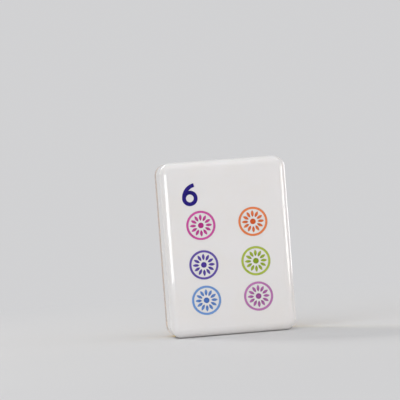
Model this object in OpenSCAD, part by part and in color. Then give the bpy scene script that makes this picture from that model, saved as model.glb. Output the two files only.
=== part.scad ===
// Mahjong tile standing on its lower short edge.
// The face looks towards -Y, the clear back towards +Y, and +Z runs up the face.
// A white face block, a thin glitter sheet and a clear back slab are bonded flat on flat,
// then rounded and polished as one. The numeral and the six dots are pockets engraved in
// the face, and each pocket is filled with paint that lies just below the surface.

/* [Outline] */
// Width across the face
tile_w = 22; // [20:0.5:26]
// Height from the standing edge to the top edge
tile_h = 30.5; // [29.5:0.5:36]
// Radius of the four corners of the outline
corner_r = 2; // [1.8:0.1:4]

/* [Layers] */
// Thickness of the white face block
face_t = 8.5; // [6:0.1:12]
// Thickness of the glitter sheet
glitter_t = 0.4; // [0.2:0.05:1]
// Thickness of the clear back slab
back_t = 4.1; // [3:0.1:7]
// Fillet round the edge of the face
face_fillet = 1.5; // [0.6:0.1:1.9]
// Fillet round the edge of the back
back_fillet = 1.7; // [0.6:0.1:1.9]

/* [Engraving] */
// Depth of the pockets below the face
pocket_depth = 0.45; // [0.25:0.05:0.8]
// How far the paint lies below the face
paint_sink = 0.05; // [0:0.01:0.1]
// Gap that the drying paint leaves at the pocket walls
paint_gap = 0.02; // [0:0.01:0.04]

/* [Numeral] */
// Distance from the left edge of the face to the centre of the numeral's bowl
numeral_inset_x = 4.9; // [4:0.1:6]
// Bare gap between the numeral and the dot below it
numeral_gap = 0.9; // [0.4:0.05:1.4]
// Outer radius of the bowl
bowl_r = 1.36; // [1.1:0.02:1.6]
// Outer radius of the tail that sweeps up from the bowl
tail_r = 2.65; // [2:0.05:2.9]
// Width of the stroke
stroke_w = 0.7; // [0.4:0.02:0.9]
// Angle of the tail's end, counted from the right
tail_end_angle = 101; // [92:1:120]

/* [Dots] */
// Outer diameter of a dot
dot_d = 5.1; // [4.4:0.1:5.4]
// Width of a dot's outer ring
ring_w = 0.4; // [0.25:0.05:0.5]
// Bare gap between the ring and the petal tips
ring_gap = 0.2; // [0.1:0.05:0.3]
// Petals in a dot
petal_count = 12; // [8:1:13]
// Length of a petal
petal_len = 1.15; // [0.8:0.05:1.2]
// Width of a petal at its middle
petal_w = 0.5; // [0.3:0.02:0.56]
// Diameter of a dot's hub
hub_d = 1; // [0.6:0.1:1.2]
// Bare margin between the side edges and the dots
side_margin = 3.9; // [3:0.1:4.6]
// Bare gap between one row of dots and the next
row_gap = 1.05; // [0.4:0.05:1.5]
// Further gap that sets the upper pair apart from the lower four
upper_gap = 0.7; // [0:0.05:1.2]

/* [Hidden] */
$fn = 64;
// Cuts run past the surfaces that they open by this much
overrun = 0.2;
// The three layers lie one behind the other, centred on the origin along Y
tile_t = face_t + glitter_t + back_t;
face_joint_y = face_t - tile_t / 2;
back_joint_y = face_joint_y + glitter_t;
// Straight runs of the outline between its corners
run_w = tile_w - 2 * corner_r;
run_h = tile_h - 2 * corner_r;
// Paint fills each pocket from its floor to just below the face
paint_t = pocket_depth - paint_sink;
// A petal is where two equal circles overlap
petal_arc_r = (petal_len ^ 2 + petal_w ^ 2) / (4 * petal_w);
petal_arc_offset = petal_arc_r - petal_w / 2;
petal_mid_r = dot_d / 2 - ring_w - ring_gap - petal_len / 2;
// Dots stand in two columns and three rows, with the numeral above the left column
column_x = tile_w / 2 - side_margin - dot_d / 2;
row_pitch = dot_d + row_gap;
dots_h = 2 * row_pitch + upper_gap + dot_d;
pattern_h = dots_h + numeral_gap + bowl_r + tail_r;
// The pattern stands midway between the standing edge and the top edge
foot_margin = (tile_h - pattern_h) / 2;
low_row_z = foot_margin + dot_d / 2;
middle_row_z = low_row_z + row_pitch;
high_row_z = middle_row_z + row_pitch + upper_gap;
numeral_z = foot_margin + dots_h + numeral_gap + bowl_r;

// Corner of a section that its fillet cuts away, with the fillet's centre at the origin
module fillet_waste(fillet) {
  difference() {
    square(fillet + overrun);
    circle(fillet);
  }
}

// Section across the rim of a layer, square below and rounded at its upper outer edge
module rim_section(t, fillet) {
  difference() {
    square([corner_r, t]);
    translate([corner_r - fillet, t - fillet])
      fillet_waste(fillet);
  }
}

// One side of the rim: a straight run and the corner at its end
module rim_side(run, reach, t, fillet) {
  translate([reach, run / 2, 0])
    rotate([90, 0, 0])
      linear_extrude(run)
        rim_section(t, fillet);
  translate([reach, run / 2, 0])
    rotate_extrude(angle = 90)
      rim_section(t, fillet);
}

// Layer lying on z = 0, with the tile's outline and a fillet round its upper edge
module filleted_layer(t, fillet) {
  translate([-run_w / 2, -run_h / 2, 0])
    cube([run_w, run_h, t]);
  for (turn = [0, 180]) {
    rotate(turn)
      rim_side(run_h, run_w / 2, t, fillet);
    rotate(turn + 90)
      rim_side(run_w, run_h / 2, t, fillet);
  }
}

// Layer lying on z = 0, with the tile's outline and square edges
module plain_layer(t) {
  translate([-run_w / 2, -tile_h / 2, 0])
    cube([run_w, tile_h, t]);
  translate([-tile_w / 2, -run_h / 2, 0])
    cube([tile_w, run_h, t]);
  for (x = [-run_w / 2, run_w / 2])
    for (y = [-run_h / 2, run_h / 2])
      translate([x, y, 0])
        cylinder(h = t, r = corner_r);
}

// Flat ring standing on z = 0
module ring(outer_r, inner_r, h) {
  difference() {
    cylinder(h = h, r = outer_r);
    translate([0, 0, -overrun])
      cylinder(h = h + 2 * overrun, r = inner_r);
  }
}

// Lens-shaped petal along X, drawn in by gap all round
module petal(h, gap) {
  intersection() {
    translate([0, petal_arc_offset, 0])
      cylinder(h = h, r = petal_arc_r - gap);
    translate([0, -petal_arc_offset, 0])
      cylinder(h = h, r = petal_arc_r - gap);
  }
}

// Dot: an outer ring, a wreath of petals and a hub
module dot_figure(h, gap) {
  ring(dot_d / 2 - gap, dot_d / 2 - ring_w + gap, h);
  for (i = [0 : petal_count - 1])
    rotate(i * 360 / petal_count)
      translate([petal_mid_r, 0, 0])
        petal(h, gap);
  cylinder(h = h, d = hub_d - 2 * gap);
}

// Numeral: a round bowl and a tail that sweeps up and over from its left side
module numeral_figure(h, gap) {
  gap_angle = gap / tail_r * 180 / PI;
  ring(bowl_r - gap, bowl_r - stroke_w + gap, h);
  translate([tail_r - bowl_r, 0, 0])
    rotate(tail_end_angle + gap_angle)
      rotate_extrude(angle = 180 - tail_end_angle - gap_angle)
        translate([tail_r - stroke_w + gap, 0])
          square([stroke_w - 2 * gap, h]);
}

// Stands a flat figure up on the face, its z = 0 at the pocket floors
module on_face(x, z) {
  translate([x, pocket_depth - tile_t / 2, z])
    rotate([90, 0, 0])
      children();
}

module at_numeral() {
  on_face(numeral_inset_x - tile_w / 2, numeral_z)
    children();
}

module at_dot(column, row_z) {
  on_face(column * column_x, row_z)
    children();
}

module face_block() {
  color("whitesmoke")
    difference() {
      translate([0, face_joint_y, tile_h / 2])
        rotate([90, 0, 0])
          filleted_layer(face_t, face_fillet);
      at_numeral()
        numeral_figure(pocket_depth + overrun, 0);
      for (column = [-1, 1])
        for (row_z = [low_row_z, middle_row_z, high_row_z])
          at_dot(column, row_z)
            dot_figure(pocket_depth + overrun, 0);
    }
}

module glitter_sheet() {
  color("goldenrod")
    translate([0, back_joint_y, tile_h / 2])
      rotate([90, 0, 0])
        plain_layer(glitter_t);
}

module back_slab() {
  color([0.86, 0.62, 0.1, 0.5])
    translate([0, back_joint_y, tile_h / 2])
      rotate([-90, 0, 0])
        filleted_layer(back_t, back_fillet);
}

module numeral_inlay() {
  color([0.12, 0.06, 0.45])
    at_numeral()
      numeral_figure(paint_t, paint_gap);
}

module dot_inlay(column, row_z) {
  at_dot(column, row_z)
    dot_figure(paint_t, paint_gap);
}

module dot_inlay_pink() {
  color([0.77, 0.2, 0.52])
    dot_inlay(-1, high_row_z);
}

module dot_inlay_orange() {
  color([0.88, 0.4, 0.16])
    dot_inlay(1, high_row_z);
}

module dot_inlay_purple() {
  color([0.3, 0.22, 0.64])
    dot_inlay(-1, middle_row_z);
}

module dot_inlay_green() {
  color([0.58, 0.68, 0.16])
    dot_inlay(1, middle_row_z);
}

module dot_inlay_blue() {
  color([0.3, 0.5, 0.82])
    dot_inlay(-1, low_row_z);
}

module dot_inlay_orchid() {
  color([0.7, 0.35, 0.65])
    dot_inlay(1, low_row_z);
}

face_block();
glitter_sheet();
back_slab();
numeral_inlay();
dot_inlay_pink();
dot_inlay_orange();
dot_inlay_purple();
dot_inlay_green();
dot_inlay_blue();
dot_inlay_orchid();
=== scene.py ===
import math
import random

import bmesh
import bpy
from mathutils import Matrix, Quaternion, Vector


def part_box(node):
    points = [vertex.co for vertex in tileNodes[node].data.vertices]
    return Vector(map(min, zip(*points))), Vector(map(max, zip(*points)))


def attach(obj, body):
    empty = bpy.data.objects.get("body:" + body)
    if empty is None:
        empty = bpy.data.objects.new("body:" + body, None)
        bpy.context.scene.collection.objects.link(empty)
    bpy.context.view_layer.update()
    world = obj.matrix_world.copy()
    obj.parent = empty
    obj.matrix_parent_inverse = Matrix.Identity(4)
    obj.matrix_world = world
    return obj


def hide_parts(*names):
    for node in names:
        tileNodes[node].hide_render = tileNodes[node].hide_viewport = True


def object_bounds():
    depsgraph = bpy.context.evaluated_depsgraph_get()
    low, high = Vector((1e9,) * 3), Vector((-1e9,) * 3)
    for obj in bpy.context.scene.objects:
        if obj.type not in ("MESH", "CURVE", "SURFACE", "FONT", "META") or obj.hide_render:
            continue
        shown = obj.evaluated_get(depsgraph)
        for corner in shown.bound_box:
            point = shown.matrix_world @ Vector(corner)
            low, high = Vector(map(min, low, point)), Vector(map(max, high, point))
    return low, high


# Looks, light and camera for a mahjong tile that stands on its lower short edge

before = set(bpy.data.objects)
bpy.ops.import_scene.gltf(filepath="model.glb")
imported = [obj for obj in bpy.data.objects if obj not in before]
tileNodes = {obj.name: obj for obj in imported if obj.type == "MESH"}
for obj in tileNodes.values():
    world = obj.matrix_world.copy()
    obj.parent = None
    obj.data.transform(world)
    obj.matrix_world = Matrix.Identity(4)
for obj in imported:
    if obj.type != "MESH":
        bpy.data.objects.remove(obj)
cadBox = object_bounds()
tileCentre = (cadBox[0] + cadBox[1]) / 2
scene = bpy.context.scene
scene.view_settings.view_transform = "Standard"
print("frame loaded:", len(tileNodes), "solids")


# Small helpers for node trees

def feed(tree, node, inputs):
    # each input gets another node's output or a plain setting
    for name, value in inputs.items():
        if isinstance(value, bpy.types.NodeSocket):
            tree.links.new(value, node.inputs[name])
        else:
            node.inputs[name].default_value = value


def addNode(tree, kind, inputs=None, **settings):
    node = tree.nodes.new(kind)
    for name, value in settings.items():
        setattr(node, name, value)
    feed(tree, node, inputs or {})
    return node


def combine(tree, operation, first, second, clamp=False):
    node = addNode(tree, "ShaderNodeMath", {0: first, 1: second}, operation=operation, use_clamp=clamp)
    return node.outputs[0]


def spread(tree, value, low, high, newLow=0.0, newHigh=1.0, kind="SMOOTHSTEP"):
    node = addNode(tree, "ShaderNodeMapRange", {
        "Value": value, "From Min": low, "From Max": high, "To Min": newLow, "To Max": newHigh,
    }, interpolation_type=kind)
    return node.outputs["Result"]


def between(tree, mask, limits):
    # runs evenly from the first limit to the second as the mask goes from 0 to 1
    return spread(tree, mask, 0.0, 1.0, *limits, "LINEAR")


def mixColours(tree, factor, first, second):
    # a colour mix uses inputs 0, 6 and 7, and output 2
    node = addNode(tree, "ShaderNodeMix", {0: factor, 6: first, 7: second}, data_type="RGBA")
    return node.outputs[2]


def noise(tree, place, scale, detail, roughness=0.5):
    return addNode(tree, "ShaderNodeTexNoise", {
        "Vector": place, "Scale": scale, "Detail": detail, "Roughness": roughness,
    }).outputs


def lengthOf(tree, place):
    return addNode(tree, "ShaderNodeVectorMath", {0: place}, operation="LENGTH").outputs["Value"]


def depthOf(tree, place):
    return addNode(tree, "ShaderNodeSeparateXYZ", {0: place}).outputs["Y"]


def bumpFrom(tree, height, strength, distance):
    node = addNode(tree, "ShaderNodeBump", {"Strength": strength, "Distance": distance, "Height": height})
    return node.outputs["Normal"]


def rgba(colour):
    return (*colour, 1.0)


def newMaterial(name, constants):
    material = bpy.data.materials.new(name)
    material.use_nodes = True
    tree = material.node_tree
    tree.nodes.clear()
    shader = addNode(tree, "ShaderNodeBsdfPrincipled", constants)
    addNode(tree, "ShaderNodeOutputMaterial", {"Surface": shader.outputs[0]})
    return material, tree, shader


def objectPlace(tree):
    return addNode(tree, "ShaderNodeTexCoord").outputs["Object"]


def newGroup(name, inputs, outputs):
    group = bpy.data.node_groups.new(name, "ShaderNodeTree")
    for direction, sockets in (("INPUT", inputs), ("OUTPUT", outputs)):
        for socketName, kind in sockets:
            group.interface.new_socket(name=socketName, in_out=direction, socket_type="NodeSocket" + kind)
    given = addNode(group, "NodeGroupInput").outputs
    end = addNode(group, "NodeGroupOutput")
    return group, given, end


# Hand-polished plastic: slow ripple, greasy smudges and hairline scratches

polish = {
    "smudgeNoise": (5.0, 0.6),      # detail and roughness
    "smudgeRange": (0.4, 0.68),     # noise over which a smudge fades in
    "bendScale": 240.0,
    "bendDetail": 2.0,
    "sway": 0.0008,                 # how far the hairlines wander
    "lineTurn": (0.5, 0.9, 0.35),
    "lineStretch": (1.0, 1.0, 0.07),
    "lineWidth": 0.016,
    "lineDepth": 0.35,              # beside a ripple of 1
    "patchRange": (0.52, 0.62),     # hairlines come in patches
    "rippleScale": 130.0,
    "rippleDetail": 1.0,
}


def makePolishGroup():
    group, given, end = newGroup(
        "polishMarks",
        [("Place", "Vector"), ("Smudge Scale", "Float"), ("Scratch Scale", "Float")],
        [("Smudge", "Float"), ("Scratch", "Float"), ("Height", "Float")],
    )
    place = given["Place"]
    smudge = noise(group, place, given["Smudge Scale"], *polish["smudgeNoise"])["Fac"]
    bend = noise(group, place, polish["bendScale"], polish["bendDetail"])
    turned = addNode(group, "ShaderNodeMapping", {
        "Vector": place, "Rotation": polish["lineTurn"], "Scale": polish["lineStretch"],
    }).outputs[0]
    sway = addNode(group, "ShaderNodeVectorMath", {
        0: bend["Color"], "Scale": polish["sway"],
    }, operation="SCALE").outputs[0]
    swayed = addNode(group, "ShaderNodeVectorMath", {0: turned, 1: sway}, operation="ADD").outputs[0]
    fromLine = addNode(group, "ShaderNodeTexVoronoi", {
        "Vector": swayed, "Scale": given["Scratch Scale"],
    }, feature="DISTANCE_TO_EDGE").outputs["Distance"]
    hairline = spread(group, fromLine, 0.0, polish["lineWidth"], 1.0, 0.0)
    patch = spread(group, bend["Fac"], *polish["patchRange"])
    scratch = combine(group, "MULTIPLY", hairline, patch)
    sunk = combine(group, "MULTIPLY", scratch, -polish["lineDepth"])
    ripple = noise(group, place, polish["rippleScale"], polish["rippleDetail"])["Fac"]
    feed(group, end, {
        "Smudge": spread(group, smudge, *polish["smudgeRange"]),
        "Scratch": scratch,
        "Height": combine(group, "ADD", ripple, sunk),
    })
    return group


polishMarks = makePolishGroup()


def usePolish(tree, place, piece):
    return addNode(tree, "ShaderNodeGroup", {
        "Place": place, "Smudge Scale": piece["smudgeScale"], "Scratch Scale": piece["scratchScale"],
    }, node_tree=polishMarks).outputs


# Paint that pools in a pocket: deeper near the middle, paler outwards, with soft brush mottling

pooling = {
    "mottleScale": 1500.0,
    "mottleNoise": (4.0, 0.65),     # detail and roughness
    "mottleMiddle": 0.5,
    "mottleSwing": 0.9,
    "mottleRange": (0.3, 0.7),      # noise over which the gloss changes
    "gloss": (0.26, 0.42),
    "paleRange": (0.15, 1.0),       # share of the figure's half width over which it turns pale
}


def makePaintGroup():
    group, given, end = newGroup(
        "paintPooling",
        [("Place", "Vector"), ("Deep", "Color"), ("Pale", "Color"), ("Reach", "Float")],
        [("Color", "Color"), ("Roughness", "Float"), ("Height", "Float")],
    )
    place = given["Place"]
    outward = combine(group, "DIVIDE", lengthOf(group, place), given["Reach"], True)
    mottle = noise(group, place, pooling["mottleScale"], *pooling["mottleNoise"])["Fac"]
    offMiddle = combine(group, "SUBTRACT", mottle, pooling["mottleMiddle"])
    swing = combine(group, "MULTIPLY", offMiddle, pooling["mottleSwing"])
    pale = combine(group, "ADD", spread(group, outward, *pooling["paleRange"]), swing, True)
    feed(group, end, {
        "Color": mixColours(group, pale, given["Deep"], given["Pale"]),
        "Roughness": spread(group, mottle, *pooling["mottleRange"], *pooling["gloss"]),
        "Height": mottle,
    })
    return group


paintPooling = makePaintGroup()
print("shared effects ready")


# White face block

whiteBlock = {
    "shader": {
        "IOR": 1.49,
        "Subsurface Weight": 0.12,
        "Subsurface Scale": 0.0006,
        "Subsurface Radius": (1.0, 0.9, 0.8),
    },
    "colour": (0.81, 0.795, 0.79),
    # colour of the painted amber glow at the joint, also used as the tint of the greasy smudges
    "paintedGlowAndSmudgeColour": (0.78, 0.73, 0.62),
    "paintedGlowReach": 0.0009,           # how far the painted amber glow creeps into the white from the joint
    # strongest share of the painted glow, right at the joint
    "paintedGlowMost": 0.8,
    "smudgeTint": 0.12,
    "smudgeScale": 170.0,
    "scratchScale": 420.0,
    "scratchRough": 0.05,
    "gloss": (0.035, 0.09),
    "bump": (0.2, 0.00002),         # strength and depth
}


def dressFaceBlock():
    material, tree, shader = newMaterial("polishedWhite", whiteBlock["shader"])
    place = objectPlace(tree)
    marks = usePolish(tree, place, whiteBlock)
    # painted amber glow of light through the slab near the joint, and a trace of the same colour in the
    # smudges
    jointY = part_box("face_block")[1].y
    paintedGlowStart = jointY - whiteBlock["paintedGlowReach"]
    paintedGlow = spread(tree, depthOf(tree, place), paintedGlowStart, jointY, 0.0, whiteBlock["paintedGlowMost"])
    dull = combine(tree, "MULTIPLY", marks["Smudge"], whiteBlock["smudgeTint"])
    # painted glow at the joint or smudge dirt, whichever is stronger
    paintedGlowAndSmudge = combine(tree, "MAXIMUM", paintedGlow, dull)
    greasy = between(tree, marks["Smudge"], whiteBlock["gloss"])
    scuffed = combine(tree, "MULTIPLY", marks["Scratch"], whiteBlock["scratchRough"])
    feed(tree, shader, {
        "Base Color": mixColours(tree, paintedGlowAndSmudge, rgba(whiteBlock["colour"]), rgba(whiteBlock["paintedGlowAndSmudgeColour"])),
        "Roughness": combine(tree, "ADD", greasy, scuffed),
        "Normal": bumpFrom(tree, marks["Height"], *whiteBlock["bump"]),
    })
    tileNodes["face_block"].data.materials[0] = material


dressFaceBlock()
print("white block dressed")


# Paint in the engraved pockets

paintFill = {
    "shader": {"Specular IOR Level": 0.25},
    "bump": (0.3, 0.00002),         # strength and depth
}

paintColours = {
    # node: deep colour in the middle, paler colour outwards
    "numeral_inlay": ((0.006, 0.001, 0.125), (0.014, 0.004, 0.185)),
    "dot_inlay_pink": ((0.430, 0.018, 0.210), (0.640, 0.085, 0.370)),
    "dot_inlay_orange": ((0.620, 0.085, 0.012), (0.830, 0.235, 0.075)),
    "dot_inlay_purple": ((0.060, 0.028, 0.290), (0.130, 0.085, 0.400)),
    "dot_inlay_green": ((0.215, 0.330, 0.008), (0.430, 0.540, 0.070)),
    "dot_inlay_blue": ((0.055, 0.145, 0.470), (0.165, 0.330, 0.680)),
    "dot_inlay_orchid": ((0.300, 0.065, 0.270), (0.520, 0.190, 0.460)),
}


def dressPaint(node, deep, pale):
    material, tree, shader = newMaterial("paint_" + node, paintFill["shader"])
    low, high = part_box(node)
    centred = addNode(tree, "ShaderNodeMapping", {
        "Vector": objectPlace(tree), "Location": -(low + high) / 2,
    }).outputs[0]
    paint = addNode(tree, "ShaderNodeGroup", {
        "Place": centred, "Deep": rgba(deep), "Pale": rgba(pale), "Reach": (high.x - low.x) / 2,
    }, node_tree=paintPooling).outputs
    feed(tree, shader, {
        "Base Color": paint["Color"],
        "Roughness": paint["Roughness"],
        "Normal": bumpFrom(tree, paint["Height"], *paintFill["bump"]),
    })
    tileNodes[node].data.materials[0] = material


for paintNode, (deepColour, paleColour) in paintColours.items():
    dressPaint(paintNode, deepColour, paleColour)
print("paint laid in", len(paintColours), "figures")


# Gold bed that stands for the plain glitter sheet

glitterBed = {
    "cornerRadius": 0.002,
    "cornerSteps": 14,
    "rimWidth": 0.00006,            # the bed steps in from the tile's edge by this
    "rise": 0.00003,                # and stands this far into the clear slab
    "shader": {"Metallic": 0.85},
    "cellScale": 4200.0,
    "edgeColour": (0.500, 0.240, 0.012),
    "darkColour": (0.290, 0.152, 0.009),
    "goldColour": (0.770, 0.515, 0.036),
    "edgeGold": 0.25,               # the sheet's bare edge shows more resin than gold
    "gloss": (0.25, 0.5),
    "bump": (0.8, 0.00006),         # strength and depth
}


def makeObject(bm, name):
    mesh = bpy.data.meshes.new(name)
    bm.to_mesh(mesh)
    bm.free()
    piece = bpy.data.objects.new(name, mesh)
    scene.collection.objects.link(piece)
    return piece


def makeGlitterBed():
    low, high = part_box("glitter_sheet")
    size = high - low
    bm = bmesh.new()
    bmesh.ops.create_cube(bm, size=1.0)
    bmesh.ops.scale(bm, vec=size, verts=bm.verts)
    bmesh.ops.translate(bm, vec=(low + high) / 2, verts=bm.verts)
    corners = [e for e in bm.edges if abs(e.verts[0].co.y - e.verts[1].co.y) > size.y / 2]
    bmesh.ops.bevel(
        bm, geom=corners, offset=glitterBed["cornerRadius"], offset_type="OFFSET", affect="EDGES",
        segments=glitterBed["cornerSteps"], profile=0.5, material=-1)
    back = max(bm.faces, key=lambda f: f.calc_center_median().y)
    bmesh.ops.inset_region(bm, faces=[back], thickness=glitterBed["rimWidth"], depth=glitterBed["rise"])
    bmesh.ops.recalc_face_normals(bm, faces=bm.faces)
    return makeObject(bm, "glitter_bed")


def dressGlitterBed(piece):
    material, tree, shader = newMaterial("glitterBedGold", glitterBed["shader"])
    place = objectPlace(tree)
    cells = addNode(tree, "ShaderNodeTexVoronoi", {"Vector": place, "Scale": glitterBed["cellScale"]})
    pick = addNode(tree, "ShaderNodeSeparateColor", {0: cells.outputs["Color"]}).outputs
    gold = mixColours(tree, pick["Red"], rgba(glitterBed["darkColour"]), rgba(glitterBed["goldColour"]))
    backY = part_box("glitter_sheet")[1].y
    edgeY = backY - glitterBed["rimWidth"]
    inside = spread(tree, depthOf(tree, place), edgeY, backY, glitterBed["edgeGold"], 1.0)
    feed(tree, shader, {
        "Base Color": mixColours(tree, inside, rgba(glitterBed["edgeColour"]), gold),
        "Roughness": between(tree, pick["Green"], glitterBed["gloss"]),
        "Normal": bumpFrom(tree, pick["Blue"], *glitterBed["bump"]),
    })
    piece.data.materials.append(material)


bed = makeGlitterBed()
dressGlitterBed(bed)
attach(bed, "root")
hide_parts("glitter_sheet")
print("glitter bed laid")


# Loose glitter flakes above the bed, inside the clear slab

glitterFlakes = {
    "count": 8192,                  # a power of two, because the flakes are doubled
    "sides": 6,
    "sizes": (0.00009, 0.00019),
    "thickness": 0.000012,
    "lift": (0.00005, 0.00036),
    "tilt": 17.0,                   # degrees, how widely their lean is spread
    "edgeMargin": 0.00022,
    "seed": 41,
    "shader": {"Metallic": 0.75},
    "gloss": (0.30, 0.12),
    "copperColour": (0.640, 0.230, 0.020),
    # tones over which one colour goes over into the next
    "darkTones": (0.05, 0.1),
    "darkColour": (0.280, 0.140, 0.008),
    "goldTones": (0.1, 0.42),
    "goldColour": (0.820, 0.555, 0.042),
    "paleTones": (0.7, 1.0),
    "paleColour": (0.980, 0.820, 0.260),
}


def inOutline(x, z, halfWidth, halfHeight, radius):
    overX = abs(x) - (halfWidth - radius)
    overZ = abs(z) - (halfHeight - radius)
    if overX > 0 and overZ > 0:
        return math.hypot(overX, overZ) <= radius
    return True


def drawSpot(draw, halfWidth, halfHeight, radius):
    while True:
        x = draw.uniform(-halfWidth, halfWidth)
        z = draw.uniform(-halfHeight, halfHeight)
        if inOutline(x, z, halfWidth, halfHeight, radius):
            return x, z


def drawTurn(draw):
    # flat flakes face the back, and each leans its own way
    lean = math.radians(draw.gauss(0, glitterFlakes["tilt"]))
    way = draw.uniform(0, 2 * math.pi)
    spin = draw.uniform(0, math.pi)
    axis = Vector((math.cos(way), math.sin(way), 0))
    standing = Matrix.Rotation(-math.pi / 2, 3, "X")
    return standing @ Matrix.Rotation(lean, 3, axis) @ Matrix.Rotation(spin, 3, "Z")


def makeGlitterFlakes():
    draw = random.Random(glitterFlakes["seed"])
    low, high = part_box("glitter_sheet")
    middle = (low + high) / 2
    margin = glitterFlakes["edgeMargin"]
    halfWidth = (high.x - low.x) / 2 - margin
    halfHeight = (high.z - low.z) / 2 - margin
    radius = glitterBed["cornerRadius"] - margin
    # one flake of unit size, doubled until there are enough
    bm = bmesh.new()
    bmesh.ops.create_circle(bm, cap_ends=True, segments=glitterFlakes["sides"], radius=1.0)
    grown = bmesh.ops.extrude_face_region(bm, geom=bm.faces[:])
    upper = [v for v in grown["geom"] if isinstance(v, bmesh.types.BMVert)]
    bmesh.ops.translate(bm, vec=(0, 0, 1), verts=upper)
    bmesh.ops.recalc_face_normals(bm, faces=bm.faces)
    flakeVerts = len(bm.verts)
    while len(bm.verts) < glitterFlakes["count"] * flakeVerts:
        bmesh.ops.duplicate(bm, geom=bm.verts[:] + bm.edges[:] + bm.faces[:])
    tone = bm.faces.layers.float.new("flakeTone")
    bm.verts.ensure_lookup_table()
    bm.verts.index_update()
    tones = []
    for first in range(0, len(bm.verts), flakeVerts):
        x, z = drawSpot(draw, halfWidth, halfHeight, radius)
        size = draw.uniform(*glitterFlakes["sizes"])
        lift = draw.uniform(*glitterFlakes["lift"])
        shape = drawTurn(draw) @ Matrix.Diagonal((size, size, glitterFlakes["thickness"]))
        place = Vector((middle.x + x, high.y + lift, middle.z + z))
        for vert in bm.verts[first:first + flakeVerts]:
            vert.co = place + shape @ vert.co
        tones.append(draw.random())
    for face in bm.faces:
        face[tone] = tones[face.verts[0].index // flakeVerts]
    return makeObject(bm, "glitter_flakes")


def dressGlitterFlakes(piece):
    material, tree, shader = newMaterial("glitterFlakeGold", glitterFlakes["shader"])
    tone = addNode(tree, "ShaderNodeAttribute", attribute_name="flakeTone").outputs["Fac"]
    colour = rgba(glitterFlakes["copperColour"])
    for shade in ("dark", "gold", "pale"):
        share = spread(tree, tone, *glitterFlakes[shade + "Tones"])
        colour = mixColours(tree, share, colour, rgba(glitterFlakes[shade + "Colour"]))
    feed(tree, shader, {
        "Base Color": colour,
        "Roughness": between(tree, tone, glitterFlakes["gloss"]),
    })
    piece.data.materials.append(material)


flakes = makeGlitterFlakes()
dressGlitterFlakes(flakes)
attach(flakes, "root")
print("glitter laid:", glitterFlakes["count"], "flakes")


# Clear amber slab over the glitter

amberSlab = {
    "shader": {
        "Base Color": (1.0, 0.985, 0.75, 1.0),
        "IOR": 1.49,
        "Transmission Weight": 1.0,
    },
    "absorbColour": (0.975, 0.84, 0.05),
    "density": 200.0,
    "shadowColour": (0.99, 0.96, 0.75),     # tint of the lamplight that goes through
    "smudgeScale": 190.0,
    "scratchScale": 460.0,
    "gloss": (0.0, 0.03),
    "bump": (0.15, 0.00002),                # strength and depth
}


def dressBackSlab():
    material, tree, shader = newMaterial("clearAmber", amberSlab["shader"])
    marks = usePolish(tree, objectPlace(tree), amberSlab)
    feed(tree, shader, {
        "Roughness": between(tree, marks["Smudge"], amberSlab["gloss"]),
        "Normal": bumpFrom(tree, marks["Height"], *amberSlab["bump"]),
    })
    # lamps reach the glitter through the slab
    shadow = addNode(tree, "ShaderNodeLightPath").outputs["Is Shadow Ray"]
    clear = addNode(tree, "ShaderNodeBsdfTransparent", {"Color": rgba(amberSlab["shadowColour"])})
    both = addNode(tree, "ShaderNodeMixShader", {0: shadow, 1: shader.outputs[0], 2: clear.outputs[0]})
    amber = addNode(tree, "ShaderNodeVolumeAbsorption", {
        "Color": rgba(amberSlab["absorbColour"]), "Density": amberSlab["density"],
    })
    feed(tree, tree.get_output_node("ALL"), {"Surface": both.outputs[0], "Volume": amber.outputs[0]})
    tileNodes["back_slab"].data.materials[0] = material


dressBackSlab()
print("amber slab dressed")


# Floor, world and lamps

studio = {
    "backdrop": (0.640, 0.640, 0.650),
    "ambient": (0.25, 0.25, 0.255),
    "floorShader": {"Roughness": 0.6},
    "floorColour": (0.640, 0.638, 0.640),
    "floorDim": (0.6208, 0.61886, 0.6208),  # in the dark of the grain
    "grainScale": 900.0,
    "grainDetail": 4.0,
    "floorSize": 3.0,
    "floorDrop": 0.00002,
    "fade": (0.05, 0.17),                   # radius over which the floor goes over into the backdrop
    "hiddenInSlab": ("topPanel",),          # its image would show as bright bars at the slab's foot
}

lampTable = {
    # name: place, width, height, watts, colour
    "leftWindow": ((-0.190, -0.205, 0.018), 0.17, 0.036, 0.18, (1.0, 1.0, 1.0)),
    "rightWindow": ((0.20, -0.10, 0.025), 0.11, 0.05, 0.15, (1.0, 0.955, 0.940)),
    "frontBox": ((-0.30, -0.42, 0.30), 0.50, 0.40, 0.50, (1.0, 1.0, 1.0)),
    "topPanel": ((-0.05, -0.10, 0.60), 0.80, 0.80, 2.3, (0.98, 0.99, 1.0)),
    "backLamp": ((-0.26, 0.44, 0.36), 0.16, 0.16, 1.2, (1.0, 0.985, 0.96)),
    "backWindow": ((0.20, 0.185, 0.045), 0.18, 0.09, 0.12, (1.0, 1.0, 1.0)),
}


def backdropRays(tree):
    # 1 for the rays that show the backdrop: from the camera, off gloss and through glass
    path = addNode(tree, "ShaderNodeLightPath").outputs
    seen = combine(tree, "MAXIMUM", path["Is Camera Ray"], path["Is Glossy Ray"])
    return combine(tree, "MAXIMUM", seen, path["Is Transmission Ray"])


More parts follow.
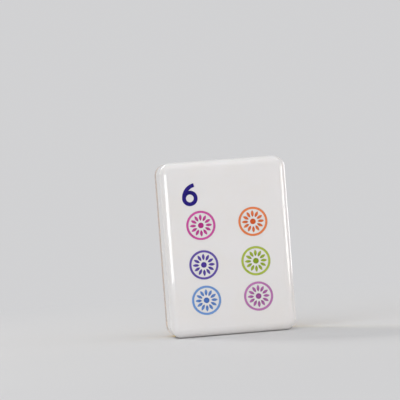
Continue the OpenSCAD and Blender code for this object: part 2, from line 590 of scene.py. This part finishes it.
def makeFloor():
    bm = bmesh.new()
    bmesh.ops.create_grid(bm, x_segments=1, y_segments=1, size=studio["floorSize"] / 2)
    bmesh.ops.translate(bm, vec=(0, 0, -studio["floorDrop"]), verts=bm.verts)
    floor = makeObject(bm, "floor")
    material, tree, shader = newMaterial("paleFloor", studio["floorShader"])
    place = objectPlace(tree)
    grain = noise(tree, place, studio["grainScale"], studio["grainDetail"])["Fac"]
    feed(tree, shader, {
        "Base Color": mixColours(tree, grain, rgba(studio["floorDim"]), rgba(studio["floorColour"])),
    })
    far = spread(tree, lengthOf(tree, place), *studio["fade"])
    glow = addNode(tree, "ShaderNodeEmission", {"Color": rgba(studio["backdrop"])})
    both = addNode(tree, "ShaderNodeMixShader", {
        0: combine(tree, "MULTIPLY", far, backdropRays(tree)), 1: shader.outputs[0], 2: glow.outputs[0],
    })
    feed(tree, tree.get_output_node("ALL"), {"Surface": both.outputs[0]})
    floor.data.materials.append(material)


def makeWorld():
    world = bpy.data.worlds.new("softRoom")
    scene.world = world
    world.use_nodes = True
    tree = world.node_tree
    tree.nodes.clear()
    colour = mixColours(tree, backdropRays(tree), rgba(studio["ambient"]), rgba(studio["backdrop"]))
    sky = addNode(tree, "ShaderNodeBackground", {"Color": colour})
    addNode(tree, "ShaderNodeOutputWorld", {"Surface": sky.outputs[0]})


def makeLamp(name, place, width, height, watts, colour):
    data = bpy.data.lights.new(name, "AREA")
    data.shape = "RECTANGLE"
    data.size = width
    data.size_y = height
    data.energy = watts
    data.color = colour
    lamp = bpy.data.objects.new(name, data)
    scene.collection.objects.link(lamp)
    lamp.location = place
    lamp.rotation_mode = "QUATERNION"
    lamp.rotation_quaternion = (tileCentre - Vector(place)).to_track_quat("-Z", "Y")
    lamp.visible_camera = False
    lamp.visible_transmission = name not in studio["hiddenInSlab"]


makeFloor()
makeWorld()
for lampName, lampSetting in lampTable.items():
    makeLamp(lampName, *lampSetting)
print("studio ready:", len(lampTable), "lamps")


# Camera at the photograph's view of the face

cameraView = {
    "azimuth": -6.2,                # degrees, from the tile's left
    "elevation": 1.2,
    "roll": -4.4,
    "lens": 200.0,
    "sensor": 36.0,
    "clip": (0.005, 20.0),
    "imagePixels": 400,
    "tileHeightPixels": 173.0,
    "tileCentrePixel": (224.6, 246.2),
}


def makeCamera():
    data = bpy.data.cameras.new("photoCamera")
    data.lens = cameraView["lens"]
    data.sensor_width = cameraView["sensor"]
    data.clip_start, data.clip_end = cameraView["clip"]
    camera = bpy.data.objects.new("photoCamera", data)
    scene.collection.objects.link(camera)
    scene.camera = camera
    pixels = cameraView["imagePixels"]
    focalPixels = cameraView["lens"] / cameraView["sensor"] * pixels
    distance = focalPixels * (cadBox[1].z - cadBox[0].z) / cameraView["tileHeightPixels"]
    azimuth = math.radians(cameraView["azimuth"])
    elevation = math.radians(cameraView["elevation"])
    level = math.cos(elevation)
    back = Vector((math.sin(azimuth) * level, -math.cos(azimuth) * level, math.sin(elevation)))
    camera.location = tileCentre + back * distance
    # turn the camera so that the tile's centre falls on its pixel
    column, row = cameraView["tileCentrePixel"]
    seenWay = Vector((column - pixels / 2, pixels / 2 - row, -focalPixels)).normalized()
    offset = seenWay.rotation_difference(Vector((0, 0, -1)))
    roll = Quaternion((0, 0, 1), math.radians(cameraView["roll"]))
    camera.rotation_mode = "QUATERNION"
    camera.rotation_quaternion = (-back).to_track_quat("-Z", "Y") @ roll @ offset


makeCamera()
print("camera placed")
